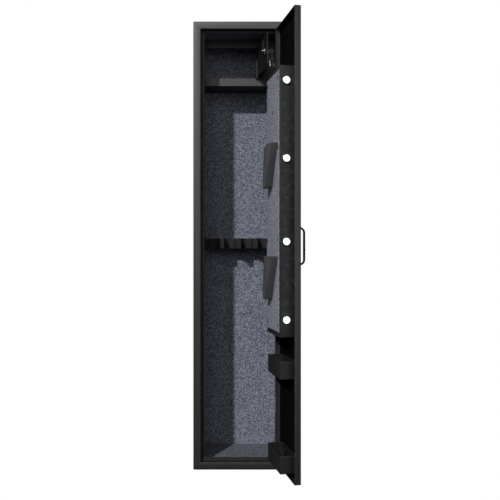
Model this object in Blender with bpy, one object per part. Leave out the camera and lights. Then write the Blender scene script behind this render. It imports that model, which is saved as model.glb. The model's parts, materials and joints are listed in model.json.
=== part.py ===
"""Tall narrow gun safe with its main door and its lockable top compartment open.

The origin is the centre of the base, +Z is up, the door side faces -Y and the door hangs on the right (+X).
Every place below is written in millimetres for the safe with both doors shut. A "depth" is a distance behind
the front face. Each door is then swung open by the empty that stands on its hinge axis.
"""

import math

import bmesh
import bpy
from mathutils import Matrix, Vector

MM = 0.001
GAP = 0.3

# Cabinet body
WIDTH, DEPTH, HEIGHT = 300.0, 270.0, 1500.0
STEEL = 3.0
FLANGE = 25.0
STOP_WIDTH = 11.0
STOP_DEPTH = 20.5
LINING = 20.0
HALF = WIDTH / 2
OPENING_X = HALF - FLANGE
OPENING_Z = (FLANGE, HEIGHT - FLANGE)
INNER_X = HALF - STEEL - GAP
LINED_X = HALF - LINING
LINED_Z = (LINING, HEIGHT - 22.0)
BACK_LINING_DEPTH = 250.0
ANCHOR_X, ANCHOR_DEPTH, ANCHOR_R = 75.0, 165.0, 6.7

# Top compartment
SHELF_DEPTH = 132.0
SHELF_Z = (1314.0, 1341.0)
SHEET = 2.0
FASCIA_BOTTOM_OF_TOP = 1448.0
FASCIA_LEFT, FASCIA_RIGHT = -122.0, 69.5

# Barrel rest
REST_DEPTH = 141.0
REST_Z = (740.0, 777.0)
NOTCH_X = (-90.0, -30.0, 30.0, 90.0)
NOTCH_R, NOTCH_DEPTH = 21.0, 41.0

# Main door
DOOR_X = OPENING_X - 3.0
DOOR_Z = (OPENING_Z[0] + 3.0, OPENING_Z[1] - 3.0)
DOOR_THICK = 20.0
PIVOT_X, PIVOT_DEPTH = 134.5, 8.0
DOOR_OPEN = 101.5
HINGE_Z = (215.0, 750.0, 1285.0)
KNUCKLE_R, PIN_R, KNUCKLE_LONG = 6.0, 3.0, 25.0
NOTCH_RIGHT = 143.5

# Bolt box and what is on it
BOX_X = (-90.0, 73.0)
BOX_Z = (469.0, 1298.0)
BOX_DEPTH = 59.4
BOX_WALL = 2.0
PANEL_Z = (485.0, 1283.0)
PANEL_DEPTH = 61.6
HOLSTER_X, HOLSTER_TOP_WIDE, HOLSTER_FOOT_WIDE = 21.0, 98.0, 25.0
HOLSTER_FOOT_THICK, HOLSTER_TOP_THICK = 26.0, 22.5
HOLSTER_WALL, HOLSTER_CORNER = 2.5, 5.0
HOLSTERS = {"holster_lower": (581.0, 716.0), "holster_upper": (930.0, 1064.0)}
TRAYS = {"tray_lower": (53.5, 108.7), "tray_upper": (340.5, 396.0)}
TRAY_DEPTH, TRAY_WALL = 57.7, 2.0

# Boltwork
BOLT_Z = (523.0, 761.0, 1014.0, 1251.0)
BOLT_R, BOLT_DEPTH = 12.0, 38.5
BOLT_X = (-98.0, -40.0)
BOLT_HOLE_R = BOLT_R + 0.7
THROW = 22.0
CARRIER_DEPTH = (20.0, 23.0)
CARRIER_X = (-24.0, -4.0)
FORK_Z = (754.3, 788.0)

# Handle and its crank: a pin on the disc moves the carrier's fork sideways
HANDLE_X, HANDLE_Z = -67.0, 747.0
SPINDLE_R, BUSH_R = 5.0, 9.0
CRANK_R = THROW / math.sqrt(2)
CRANK_PIN_R, DISC_R = 3.5, 20.0
FORK_SLOT = 2 * CRANK_PIN_R + 2.0
BOW_HALF, BOW_OUT, BOW_WIRE_R, BOW_WIDEN = 60.0, 25.0, 3.0, 2.5

# Main lock
LOCK_X, LOCK_Z = -67.0, 850.0
LOCK_CASE_X, LOCK_CASE_Z = (-86.0, -49.0), (815.0, 885.0)
LOCK_CASE_DEPTH = 30.0
PLUG_R = 7.0
TONGUE_X, TONGUE_Z, TONGUE_DEPTH = (-73.0, -61.0), (849.0, 887.0), (17.0, 24.0)
COVER_PIVOT_Z = LOCK_Z + 15.0

# Inner door and its cam lock
INNER_PIVOT_X, INNER_PIVOT_DEPTH = 65.0, 127.5
INNER_OPEN = 100.0
INNER_Z = (1342.0, 1447.0)
INNER_EDGE_X = -121.7
EYE_R, INNER_PIN_R = 4.0, 2.5
CAM_X, CAM_Z = -91.7, 1393.0
KEY_DEPTH, KEY_BOW_R, KEY_HOLE_R, KEY_THICK = 111.0, 9.0, 2.4, 2.0
SPARE_BLADE = 17.0
RING_R, RING_WIRE_R = 7.0, 0.8


def material(name, colour, roughness, metallic):
    made = bpy.data.materials.new(name)
    made.use_nodes = True
    shader = made.node_tree.nodes["Principled BSDF"]
    shader.inputs["Base Color"].default_value = (*colour, 1.0)
    shader.inputs["Roughness"].default_value = roughness
    shader.inputs["Metallic"].default_value = metallic
    return made


def clear_scene():
    for obj in list(bpy.data.objects):
        bpy.data.objects.remove(obj)


clear_scene()
PARTS = bpy.data.collections.new("gun_safe")
CUTTERS = bpy.data.collections.new("cutters")
for group in (PARTS, CUTTERS):
    bpy.context.scene.collection.children.link(group)

POWDER_COAT = material("powder_coat", (0.012, 0.012, 0.013), 0.55, 0.0)
CARPET = material("carpet", (0.12, 0.125, 0.155), 1.0, 0.0)
FOAM = material("foam", (0.03, 0.03, 0.032), 0.8, 0.0)
CHROME = material("chrome", (0.8, 0.8, 0.8), 0.12, 1.0)
ZINC = material("zinc_plate", (0.55, 0.55, 0.56), 0.35, 1.0)
NYLON = material("nylon", (0.04, 0.04, 0.04), 0.5, 0.0)
RUBBER = material("rubber", (0.015, 0.015, 0.015), 0.7, 0.0)
POUCH = material("moulded_pouch", (0.035, 0.035, 0.037), 0.6, 0.0)


def at(x, depth, z):
    """A place in metres from an x and a z in millimetres and a depth behind the front face."""
    return Vector((x, depth - DEPTH / 2, z)) * MM


def axis_empty(name, x, depth, z, parent=None):
    empty = bpy.data.objects.new(name, None)
    empty.empty_display_size = 0.03
    empty["shut_place"] = at(x, depth, z)
    PARTS.objects.link(empty)
    hang(empty, parent)
    empty.location = at(x, depth, z)
    return empty


def hang(obj, parent):
    """Parent an object whose own coordinates stay those of the shut safe."""
    if parent is not None:
        obj.parent = parent
        obj.matrix_parent_inverse = Matrix.Translation(-Vector(parent["shut_place"]))


def add_object(name, mesh, finish, parent):
    obj = bpy.data.objects.new(name, mesh)
    if finish is None:
        CUTTERS.objects.link(obj)
        obj.hide_render = True
        obj.display_type = "WIRE"
    else:
        PARTS.objects.link(obj)
        mesh.materials.append(finish)
    hang(obj, parent)
    return obj


def box(name, x, depth, z, finish=None, parent=None, round_edges=0.0):
    """A block between two x, two depths and two heights. With no finish it is a cutter."""
    low, high = at(x[0], depth[0], z[0]), at(x[1], depth[1], z[1])
    mesh = bpy.data.meshes.new(name)
    shape = bmesh.new()
    bmesh.ops.create_cube(shape, size=1.0)
    bmesh.ops.scale(shape, vec=high - low, verts=shape.verts)
    if round_edges:
        bmesh.ops.bevel(shape, geom=shape.edges, offset=round_edges * MM, segments=2, profile=0.5, affect="EDGES")
    shape.to_mesh(mesh)
    shape.free()
    obj = add_object(name, mesh, finish, parent)
    obj.location = (low + high) / 2
    return obj


def rod(name, centre, radius, length, along, finish=None, parent=None, sides=32, chamfer=0.0):
    """A cylinder centred on a place given as (x, depth, z), along one of the axes "X", "Y" or "Z"."""
    turn = {"X": Matrix.Rotation(math.pi / 2, 3, "Y"), "Y": Matrix.Rotation(math.pi / 2, 3, "X"), "Z": Matrix()}
    mesh = bpy.data.meshes.new(name)
    shape = bmesh.new()
    bmesh.ops.create_cone(
        shape, cap_ends=True, segments=sides, radius1=radius * MM, radius2=radius * MM, depth=length * MM
    )
    if chamfer:
        rims = [edge for edge in shape.edges if abs(edge.verts[0].co.z - edge.verts[1].co.z) < 1e-6]
        bmesh.ops.bevel(shape, geom=rims, offset=chamfer * MM, segments=2, profile=0.5, affect="EDGES")
    bmesh.ops.rotate(shape, matrix=turn[along].to_3x3(), verts=shape.verts)
    shape.to_mesh(mesh)
    shape.free()
    mesh.shade_smooth()
    mesh.set_sharp_from_angle(angle=math.radians(40))
    obj = add_object(name, mesh, finish, parent)
    obj.location = at(*centre)
    return obj


def rod_between(name, x, z, depths, radius, finish=None, parent=None, **shape):
    """A cylinder along Y, from one depth to another."""
    middle = (x, sum(depths) / 2, z)
    return rod(name, middle, radius, depths[1] - depths[0], "Y", finish, parent, **shape)


def boolean(target, other, operation):
    step = target.modifiers.new(operation.lower(), "BOOLEAN")
    step.operation = operation
    step.object = other
    step.solver = "EXACT"


def cut(target, *cutters):
    for cutter in cutters:
        boolean(target, cutter, "DIFFERENCE")


def join(target, *others):
    for other in others:
        boolean(target, other, "UNION")


def loft(name, sections, finish=None, parent=None):
    """A closed skin through sections that have the same number of points, each in (x, depth, z)."""
    mesh = bpy.data.meshes.new(name)
    shape = bmesh.new()
    rings = [[shape.verts.new(at(*point)) for point in section] for section in sections]
    for low, high in zip(rings, rings[1:]):
        for i in range(len(low)):
            j = (i + 1) % len(low)
            shape.faces.new((low[i], low[j], high[j], high[i]))
    shape.faces.new(rings[0][::-1])
    shape.faces.new(rings[-1])
    bmesh.ops.recalc_face_normals(shape, faces=shape.faces)
    shape.to_mesh(mesh)
    shape.free()
    return add_object(name, mesh, finish, parent)


def build_shell():
    behind_frame = STEEL + GAP
    for side, x in (("left", (-HALF, STEEL - HALF)), ("right", (HALF - STEEL, HALF))):
        box(f"side_panel_{side}", x, (behind_frame, DEPTH), (0, HEIGHT), POWDER_COAT)
    inner = (-INNER_X, INNER_X)
    box("back_panel", inner, (DEPTH - STEEL, DEPTH), (0, HEIGHT), POWDER_COAT)
    between = (behind_frame, DEPTH - STEEL - GAP)
    box("top_panel", inner, between, (HEIGHT - STEEL, HEIGHT), POWDER_COAT)
    floor = box("bottom_panel", inner, between, (0, STEEL), POWDER_COAT)
    for side, x in (("left", -ANCHOR_X), ("right", ANCHOR_X)):
        cut(floor, rod(f"cut_anchor_{side}", (x, ANCHOR_DEPTH, 0), ANCHOR_R + GAP, 10, "Z"))
        plug = rod(f"anchor_plug_{side}", (x, ANCHOR_DEPTH, 1.8), ANCHOR_R, 3.6, "Z", RUBBER)
        join(plug, rod(f"add_plug_{side}", (x, ANCHOR_DEPTH, 4.5), ANCHOR_R + 2.3, 2, "Z"))


def build_frame():
    """Four folded members: a front flange, a return and the door stop. The hinge side has no stop."""
    deep = (0, STOP_DEPTH + STEEL)
    stop = (STOP_DEPTH, STOP_DEPTH + STEEL)
    fold = OPENING_X + STEEL
    inside = (STEEL + GAP, HEIGHT - STEEL - GAP)
    left = box("frame_stile_left", (-HALF, -OPENING_X), (0, STEEL), (0, HEIGHT), POWDER_COAT)
    stop_z = (OPENING_Z[0] + STOP_WIDTH + GAP, OPENING_Z[1] - STOP_WIDTH - GAP)
    join(
        left,
        box("add_return_left", (-fold, -OPENING_X), deep, inside),
        box("add_stop_left", (-fold, STOP_WIDTH - OPENING_X), stop, stop_z),
    )
    right = box("frame_stile_right", (OPENING_X, HALF), (0, STEEL), (0, HEIGHT), POWDER_COAT)
    join(right, box("add_return_right", (OPENING_X, fold), (0, STOP_DEPTH), inside))
    for number, z in enumerate(HINGE_Z, 1):
        notch = (z - KNUCKLE_LONG - 4, z + KNUCKLE_LONG + 2)
        cut(right, box(f"cut_notch_{number}", (OPENING_X - 5, NOTCH_RIGHT), (-5, STOP_DEPTH + 5), notch))
    span = (GAP - OPENING_X, OPENING_X - GAP)
    edges = {"bottom": (0, OPENING_Z[0], 1), "top": (HEIGHT, OPENING_Z[1], -1)}
    for name, (outer, inner, up) in edges.items():
        rail = box(f"frame_rail_{name}", span, (0, STEEL), sorted((outer, inner)), POWDER_COAT)
        join(
            rail,
            box(f"add_return_{name}", span, deep, sorted((inner - up * STEEL, inner))),
            box(f"add_stop_{name}", span, stop, sorted((inner - up * STEEL, inner + up * STOP_WIDTH))),
        )


def build_linings():
    """Carpeted boards inside the walls."""
    behind_stop = STOP_DEPTH + STEEL + 0.5
    tall = (STEEL + GAP, HEIGHT - STEEL - GAP)
    to_back = (behind_stop, BACK_LINING_DEPTH)
    wide = (GAP - LINED_X, LINED_X - GAP)
    box("lining_back", (-INNER_X, INNER_X), (BACK_LINING_DEPTH + GAP, DEPTH - STEEL - GAP), tall, CARPET)
    box("lining_left", (-INNER_X, -LINED_X), to_back, tall, CARPET)
    box("lining_right", (LINED_X, INNER_X), to_back, tall, CARPET)
    box("lining_ceiling", wide, to_back, (LINED_Z[1], tall[1]), CARPET)
    floor = box("lining_floor", wide, to_back, (tall[0], LINED_Z[0]), CARPET)
    for side, x in (("left", -ANCHOR_X), ("right", ANCHOR_X)):
        cut(floor, rod(f"cut_pocket_{side}", (x, ANCHOR_DEPTH, 0), ANCHOR_R + 3, 14, "Z"))


def build_shelf():
    """A shallow steel pan with a carpeted board in it, and the compartment's front frame above."""
    wide = (GAP - LINED_X, LINED_X - GAP)
    back = BACK_LINING_DEPTH
    sheet = (SHELF_DEPTH, SHELF_DEPTH + SHEET)
    low, high = SHELF_Z
    tab_x = (INNER_PIVOT_X - 7, INNER_PIVOT_X + 7)
    tab_depth = (INNER_PIVOT_DEPTH - 6, SHELF_DEPTH + SHEET)
    shelf = box("top_shelf", wide, (SHELF_DEPTH, back), (low, low + SHEET), POWDER_COAT)
    join(
        shelf,
        box("add_shelf_lip", wide, sheet, SHELF_Z),
        box("add_shelf_back", wide, (back - SHEET, back), (low, low + 16)),
        box("add_shelf_tab", tab_x, tab_depth, (high - SHEET, high)),
    )
    cut(shelf, rod("cut_shelf_tab", (INNER_PIVOT_X, INNER_PIVOT_DEPTH, high), INNER_PIN_R + GAP, 8, "Z"))
    board_x = (wide[0] + GAP, wide[1] - GAP)
    board_depth = (sheet[1] + GAP, back - SHEET - GAP)
    box("shelf_board", board_x, board_depth, (low + SHEET + GAP, low + 14), CARPET)

    above = (high + GAP, LINED_Z[1] - GAP)
    head = (FASCIA_BOTTOM_OF_TOP, above[1])
    fascia = box("inner_fascia", wide, sheet, head, POWDER_COAT)
    join(
        fascia,
        box("add_fascia_left", (wide[0], FASCIA_LEFT), sheet, above),
        box("add_fascia_right", (FASCIA_RIGHT, wide[1]), sheet, above),
        box("add_fascia_tab", tab_x, tab_depth, (head[0], head[0] + SHEET)),
    )
    cut(fascia, rod("cut_fascia_tab", (INNER_PIVOT_X, INNER_PIVOT_DEPTH, head[0]), INNER_PIN_R + GAP, 8, "Z"))


def build_barrel_rest():
    wide = (GAP - LINED_X, LINED_X - GAP)
    rest = box("barrel_rest", wide, (REST_DEPTH, BACK_LINING_DEPTH), REST_Z, FOAM)
    past = (REST_Z[0] - 5, REST_Z[1] + 5)
    for number, x in enumerate(NOTCH_X, 1):
        end = REST_DEPTH + NOTCH_DEPTH - NOTCH_R
        slot = box(f"cut_rest_{number}", (x - NOTCH_R, x + NOTCH_R), (REST_DEPTH - 5, end), past)
        middle = (x, end, sum(REST_Z) / 2)
        cut(rest, slot, rod(f"cut_rest_end_{number}", middle, NOTCH_R, past[1] - past[0], "Z"))


def build_hinges(door):
    """Three lift-off hinges: a fixed lower knuckle with its pin, and the door's bored knuckle with its leaf."""
    for number, z in enumerate(HINGE_Z, 1):
        lower = (PIVOT_X, PIVOT_DEPTH, z - GAP - KNUCKLE_LONG / 2)
        fixed = rod(f"hinge_knuckle_fixed_{number}", lower, KNUCKLE_R, KNUCKLE_LONG, "Z", POWDER_COAT)
        arm_z = (z - GAP - KNUCKLE_LONG + 1, z - GAP - 1)
        arm_depth = (PIVOT_DEPTH - 3, PIVOT_DEPTH + 3)
        pin = (PIVOT_X, PIVOT_DEPTH, z)
        join(
            fixed,
            box(f"add_hinge_arm_{number}", (PIVOT_X, INNER_X), arm_depth, arm_z),
            rod(f"add_hinge_pin_{number}", pin, PIN_R, 2 * KNUCKLE_LONG - 6, "Z"),
        )

        upper = (PIVOT_X, PIVOT_DEPTH, z + GAP + KNUCKLE_LONG / 2)
        swing = rod(f"hinge_knuckle_door_{number}", upper, KNUCKLE_R, KNUCKLE_LONG, "Z", POWDER_COAT, door)
        leaf_z = (z + GAP + 1, z + GAP + KNUCKLE_LONG - 1)
        leaf_depth = (PIVOT_DEPTH - 2.5, PIVOT_DEPTH + 2.5)
        join(swing, box(f"add_leaf_{number}", (DOOR_X + GAP, PIVOT_X), leaf_depth, leaf_z, None, door))
        cut(swing, rod(f"cut_leaf_{number}", pin, PIN_R + GAP, 2 * KNUCKLE_LONG + 8, "Z", None, door))


def build_door(door):
    """The door is a steel pan with a hard plate against its outer skin."""
    skin = box("door_skin", (-DOOR_X, DOOR_X), (0, DOOR_THICK), DOOR_Z, POWDER_COAT, door, round_edges=0.8)
    hollow_x = (STEEL - DOOR_X, DOOR_X - STEEL)
    hollow_z = (DOOR_Z[0] + STEEL, DOOR_Z[1] - STEEL)
    cut(skin, box("cut_door_hollow", hollow_x, (STEEL, DOOR_THICK + 5), hollow_z, None, door))
    plate_x = (hollow_x[0] + GAP, hollow_x[1] - GAP)
    plate_z = (hollow_z[0] + GAP, hollow_z[1] - GAP)
    plate = box("door_hardplate", plate_x, (STEEL + GAP, 2 * STEEL), plate_z, POWDER_COAT, door)
    through = (-5, 12)
    for piece in (skin, plate):
        spindle = rod_between("cut_spindle_" + piece.name, HANDLE_X, HANDLE_Z, through, BUSH_R + GAP, None, door)
        keyway = rod_between("cut_keyway_" + piece.name, LOCK_X, LOCK_Z, through, PLUG_R + GAP, None, door)
        cut(piece, spindle, keyway)


def build_bolt_box(door):
    """The cover over the boltwork, with the bolt holes in the wall nearest the door's free edge."""
    floor = 2 * STEEL + GAP
    cover = box("bolt_box", BOX_X, (floor, BOX_DEPTH), BOX_Z, POWDER_COAT, door, round_edges=1.0)
    hollow_x = (BOX_X[0] + BOX_WALL, BOX_X[1] - BOX_WALL)
    hollow_z = (BOX_Z[0] + BOX_WALL, BOX_Z[1] - BOX_WALL)
    cut(cover, box("cut_box_hollow", hollow_x, (floor - 5, BOX_DEPTH - BOX_WALL), hollow_z, None, door))
    for number, z in enumerate(BOLT_Z, 1):
        middle = (BOX_X[0], BOLT_DEPTH, z)
        cut(cover, rod(f"cut_bolt_{number}", middle, BOLT_HOLE_R, 12, "X", None, door))
    panel_x = (BOX_X[0] + 0.5, BOX_X[1] - 0.5)
    box("door_carpet_panel", panel_x, (BOX_DEPTH + GAP, PANEL_DEPTH), PANEL_Z, CARPET, door)

    inner_face = BOX_DEPTH - BOX_WALL - GAP
    web_x = (HANDLE_X - 2, HANDLE_X + 1)
    for name, bolts in (("bolt_guide_lower", BOLT_Z[:2]), ("bolt_guide_upper", BOLT_Z[2:])):
        span = (bolts[0] - 26, bolts[1] + 26)
        guide = box(name, web_x, (26, inner_face), span, ZINC, door)
        join(guide, box(f"add_{name}", (web_x[0], web_x[0] + 22), (inner_face - 3, inner_face), span, None, door))
        for z in bolts:
            middle = (HANDLE_X, BOLT_DEPTH, z)
            cut(guide, rod(f"cut_{name}_{z:.0f}", middle, BOLT_HOLE_R, 12, "X", None, door))


def build_boltwork(bolts):
    """One flat carrier holds the four bolts. Its fork takes the crank pin, its lug meets the lock's tongue."""
    near = BOLT_X[1] + GAP
    carrier_z = (BOLT_Z[0] - 20, BOLT_Z[-1] + 20)
    carrier = box("bolt_carrier", CARRIER_X, CARRIER_DEPTH, carrier_z, ZINC, bolts)
    for number, z in enumerate(BOLT_Z, 1):
        span = (z - 13, z + 13)
        join(
            carrier,
            box(f"add_arm_{number}", (near, CARRIER_X[1]), CARRIER_DEPTH, span, None, bolts),
            box(f"add_upstand_{number}", (near, near + 5), (CARRIER_DEPTH[0], 52), span, None, bolts),
        )
        middle = (sum(BOLT_X) / 2, BOLT_DEPTH, z)
        rod(f"bolt_{number}", middle, BOLT_R, BOLT_X[1] - BOLT_X[0], "X", CHROME, bolts, chamfer=1.2)

    slot_middle = HANDLE_X + CRANK_R / math.sqrt(2)
    for side in (-1, 1):
        edge = slot_middle + side * FORK_SLOT / 2
        prong = sorted((edge, edge + side * 4))
        join(carrier, box(f"add_prong_{side + 1}", prong, CARRIER_DEPTH, FORK_Z, None, bolts))
    bar_x = (slot_middle - FORK_SLOT / 2 - 4, CARRIER_X[1])
    join(carrier, box("add_fork_bar", bar_x, CARRIER_DEPTH, (FORK_Z[1] - 20, FORK_Z[1]), None, bolts))

    lug_x = (TONGUE_X[1] + 0.8, TONGUE_X[1] + 9.2)
    lug_z = (TONGUE_Z[1] + 2, TONGUE_Z[1] + 30)
    join(
        carrier,
        box("add_lug", lug_x, CARRIER_DEPTH, lug_z, None, bolts),
        box("add_lug_arm", (lug_x[0], CARRIER_X[1]), CARRIER_DEPTH, (lug_z[1] - 12, lug_z[1]), None, bolts),
    )


def bow_path(steps=10):
    """The handle's bow as (distance out, height): up one foot, round its corner, along the grip, and back."""
    corner = 14.0
    quarter = [
        (BOW_OUT - corner + corner * math.sin(a), -BOW_HALF + corner * (1 - math.cos(a)) + 4)
        for a in (math.pi / 2 * i / steps for i in range(steps + 1))
    ]
    lower = [(0.0, -BOW_HALF), (6.0, -BOW_HALF + 1.5)] + quarter
    return lower + [(out, -height) for out, height in reversed(lower)]


def swept_mesh(name, points, radius):
    """The mesh of a round wire along open points, with its caps welded on."""
    curve = bpy.data.curves.new(name, "CURVE")
    curve.dimensions = "3D"
    curve.bevel_depth = radius
    curve.bevel_resolution = 3
    curve.use_fill_caps = True
    spline = curve.splines.new("POLY")
    spline.points.add(len(points) - 1)
    for point, place in zip(spline.points, points):
        point.co = (*place, 1.0)
    wire = bpy.data.objects.new(name, curve)
    CUTTERS.objects.link(wire)
    graph = bpy.context.evaluated_depsgraph_get()
    mesh = bpy.data.meshes.new_from_object(wire.evaluated_get(graph))
    bpy.data.objects.remove(wire)
    shape = bmesh.new()
    shape.from_mesh(mesh)
    bmesh.ops.remove_doubles(shape, verts=shape.verts, dist=1e-6)
    bmesh.ops.recalc_face_normals(shape, faces=shape.faces)
    shape.to_mesh(mesh)
    shape.free()
    return mesh


def build_handle(door, turn):
    """A bow on a base bar outside, and a spindle through the door that ends in a crank disc with its pin."""
    rose = rod_between("handle_rose", HANDLE_X, HANDLE_Z, (-3.3, -GAP), 24, CHROME, door, sides=48, chamfer=0.8)
    cut(rose, rod_between("cut_rose", HANDLE_X, HANDLE_Z, (-9, 6), SPINDLE_R + GAP, None, door))
    bush = rod_between("spindle_bush", HANDLE_X, HANDLE_Z, (GAP, 11.7), BUSH_R, NYLON, door)
    cut(bush, rod_between("cut_bush", HANDLE_X, HANDLE_Z, (-9, 20), SPINDLE_R + GAP, None, door))

    base_depth = (-8.0, -3.6)
    half = BOW_HALF - 8
    base = box(
        "handle", (HANDLE_X - 10, HANDLE_X + 10), base_depth, (HANDLE_Z - half, HANDLE_Z + half), CHROME, turn
    )
    for side in (-1, 1):
        end = rod_between(f"add_base_{side + 1}", HANDLE_X, HANDLE_Z + side * half, base_depth, 10, None, turn)
        join(base, end)
    outward = -(BOW_OUT + BOW_WIRE_R)
    root = base_depth[0] + 1.5
    points = []
    for out, height in bow_path():
        share = out / BOW_OUT
        points.append((0.0, (root + (outward + BOW_WIRE_R - root) * share) * MM, height * MM))
    mesh = swept_mesh("add_bow", points, BOW_WIRE_R * MM)
    for vertex in mesh.vertices:
        vertex.co.x *= BOW_WIDEN
    bow = add_object("add_bow", mesh, None, turn)
    bow.location = at(HANDLE_X, 0, HANDLE_Z)
    join(base, bow)

    crank = rod_between("crank_spindle", HANDLE_X, HANDLE_Z, (12, 16), DISC_R, ZINC, turn, sides=48)
    offset = CRANK_R / math.sqrt(2)
    pin = rod_between("add_crank_pin", HANDLE_X + offset, HANDLE_Z + offset, (14, 24.5), CRANK_PIN_R, None, turn)
    join(crank, pin, rod_between("add_spindle", HANDLE_X, HANDLE_Z, (-3.3, 14), SPINDLE_R, None, turn))


def build_main_lock(door, plug_axis, tongue_axis, cover_axis):
    plate = rod_between("lock_escutcheon", LOCK_X, LOCK_Z, (-2.3, -GAP), 20, CHROME, door, sides=48)
    cut(plate, rod_between("cut_escutcheon", LOCK_X, LOCK_Z, (-9, 6), PLUG_R + GAP, None, door))

    plug = rod_between("lock_plug", LOCK_X, LOCK_Z, (-2.3, 5.9), PLUG_R, ZINC, plug_axis)
    keyway_x, keyway_z = (LOCK_X - 1, LOCK_X + 1), (LOCK_Z - 4.5, LOCK_Z + 4.5)
    cut(plug, box("cut_keyway", keyway_x, (-6, 4), keyway_z, None, plug_axis))

    case_depth = (2 * STEEL + GAP, LOCK_CASE_DEPTH)
    case = box("lock_case", LOCK_CASE_X, case_depth, LOCK_CASE_Z, ZINC, door, round_edges=1.0)
    pocket_x = (TONGUE_X[0] - 0.5, TONGUE_X[1] + 0.5)
    pocket_depth = (TONGUE_DEPTH[0] - 0.5, TONGUE_DEPTH[1] + 0.5)
    pocket_z = (TONGUE_Z[0] - 4, LOCK_CASE_Z[1] + 5)
    cut(case, box("cut_tongue_pocket", pocket_x, pocket_depth, pocket_z, None, door))
    box("lock_tongue", TONGUE_X, TONGUE_DEPTH, TONGUE_Z, ZINC, tongue_axis)

    depths = (-4.8, -2.6)
    cover = rod_between("keyhole_cover", LOCK_X, LOCK_Z, depths, 10.5, CHROME, cover_axis, sides=48)
    neck = box("add_cover_neck", (LOCK_X - 4.5, LOCK_X + 4.5), depths, (LOCK_Z, COVER_PIVOT_Z), None, cover_axis)
    top = rod_between("add_cover_top", LOCK_X, COVER_PIVOT_Z, depths, 4.5, None, cover_axis)
    rivet = rod_between("add_cover_rivet", LOCK_X, COVER_PIVOT_Z, (-6, -3), 2.4, None, cover_axis)
    join(cover, neck, top, rivet)


def holster_section(share, z, wall=0.0):
    """One level of a pouch, in (x, depth, z): flat on the panel, with its two outer corners cut off.

    The share is 0 at the pouch's foot and 1 at its mouth. The far side stays upright.
    """
    wide = HOLSTER_FOOT_WIDE + (HOLSTER_TOP_WIDE - HOLSTER_FOOT_WIDE) * share
    thick = HOLSTER_FOOT_THICK + (HOLSTER_TOP_THICK - HOLSTER_FOOT_THICK) * share
    near, far = HOLSTER_X - wide + wall, HOLSTER_X - wall
    back = PANEL_DEPTH + GAP
    inner, outer = back + wall, back + thick - wall
    corner = HOLSTER_CORNER - wall
    return [
        (near, inner, z), (near, outer - corner, z), (near + corner, outer, z),
        (far - corner, outer, z), (far, outer - corner, z), (far, inner, z),
    ]


def build_holsters(door):
    """Two tapered pouches, open at the top. The hollow's loft starts above the foot and runs out of the mouth."""
    for name, (low, high) in HOLSTERS.items():
        floor = 4.0
        rise = floor / (high - low)
        pouch = loft(name, [holster_section(0, low), holster_section(1, high)], POUCH, door)
        hollow = [
            holster_section(rise, low + floor, HOLSTER_WALL),
            holster_section(1 + rise, high + floor, HOLSTER_WALL),
        ]
        cut(pouch, loft(f"cut_{name}", hollow, None, door))


def build_trays(door):
    floor = 2 * STEEL + GAP
    wall = TRAY_WALL
    for name, (low, high) in TRAYS.items():
        tray = box(name, BOX_X, (floor, TRAY_DEPTH), (low, high), POWDER_COAT, door, round_edges=0.8)
        hollow_x = (BOX_X[0] + wall, BOX_X[1] - wall)
        hollow_depth = (floor + wall, TRAY_DEPTH - wall)
        cut(tray, box(f"cut_{name}", hollow_x, hollow_depth, (low + wall, high + 5), None, door))


def build_inner_door(inner):
    """A steel sheet with a rolled eye along its hinge edge, on a pin at the top and one at the bottom."""
    sheet_depth = (INNER_PIVOT_DEPTH - SHEET / 2, INNER_PIVOT_DEPTH + SHEET / 2)
    tall = INNER_Z[1] - INNER_Z[0]
    leaf = box("inner_door", (INNER_EDGE_X, INNER_PIVOT_X), sheet_depth, INNER_Z, POWDER_COAT, inner)
    middle = (INNER_PIVOT_X, INNER_PIVOT_DEPTH, sum(INNER_Z) / 2)
    join(leaf, rod("add_eye", middle, EYE_R, tall, "Z", None, inner))
    cut(
        leaf,
        rod("cut_eye", middle, INNER_PIN_R + GAP, tall + 10, "Z", None, inner),
        rod_between("cut_inner_lock", CAM_X, CAM_Z, (from_sheet(-9), from_sheet(9)), 9.4, None, inner),
    )
    ends = {"bottom": (SHELF_Z[1] - SHEET, -1), "top": (FASCIA_BOTTOM_OF_TOP + SHEET, 1)}
    for name, (tab, up) in ends.items():
        head = (INNER_PIVOT_X, INNER_PIVOT_DEPTH, tab + up * (GAP + 0.75))
        pin = rod(f"inner_pin_{name}", head, INNER_PIN_R + 1.4, 1.5, "Z", ZINC)
        shank = (INNER_PIVOT_X, INNER_PIVOT_DEPTH, tab + up * (1 - 8))
        join(pin, rod(f"add_inner_pin_{name}", shank, INNER_PIN_R, 16, "Z"))


def from_sheet(*offsets):
    """Depths counted from the middle of the inner door's sheet."""
    depths = tuple(INNER_PIVOT_DEPTH + offset for offset in offsets)
    return depths if len(depths) > 1 else depths[0]


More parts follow.
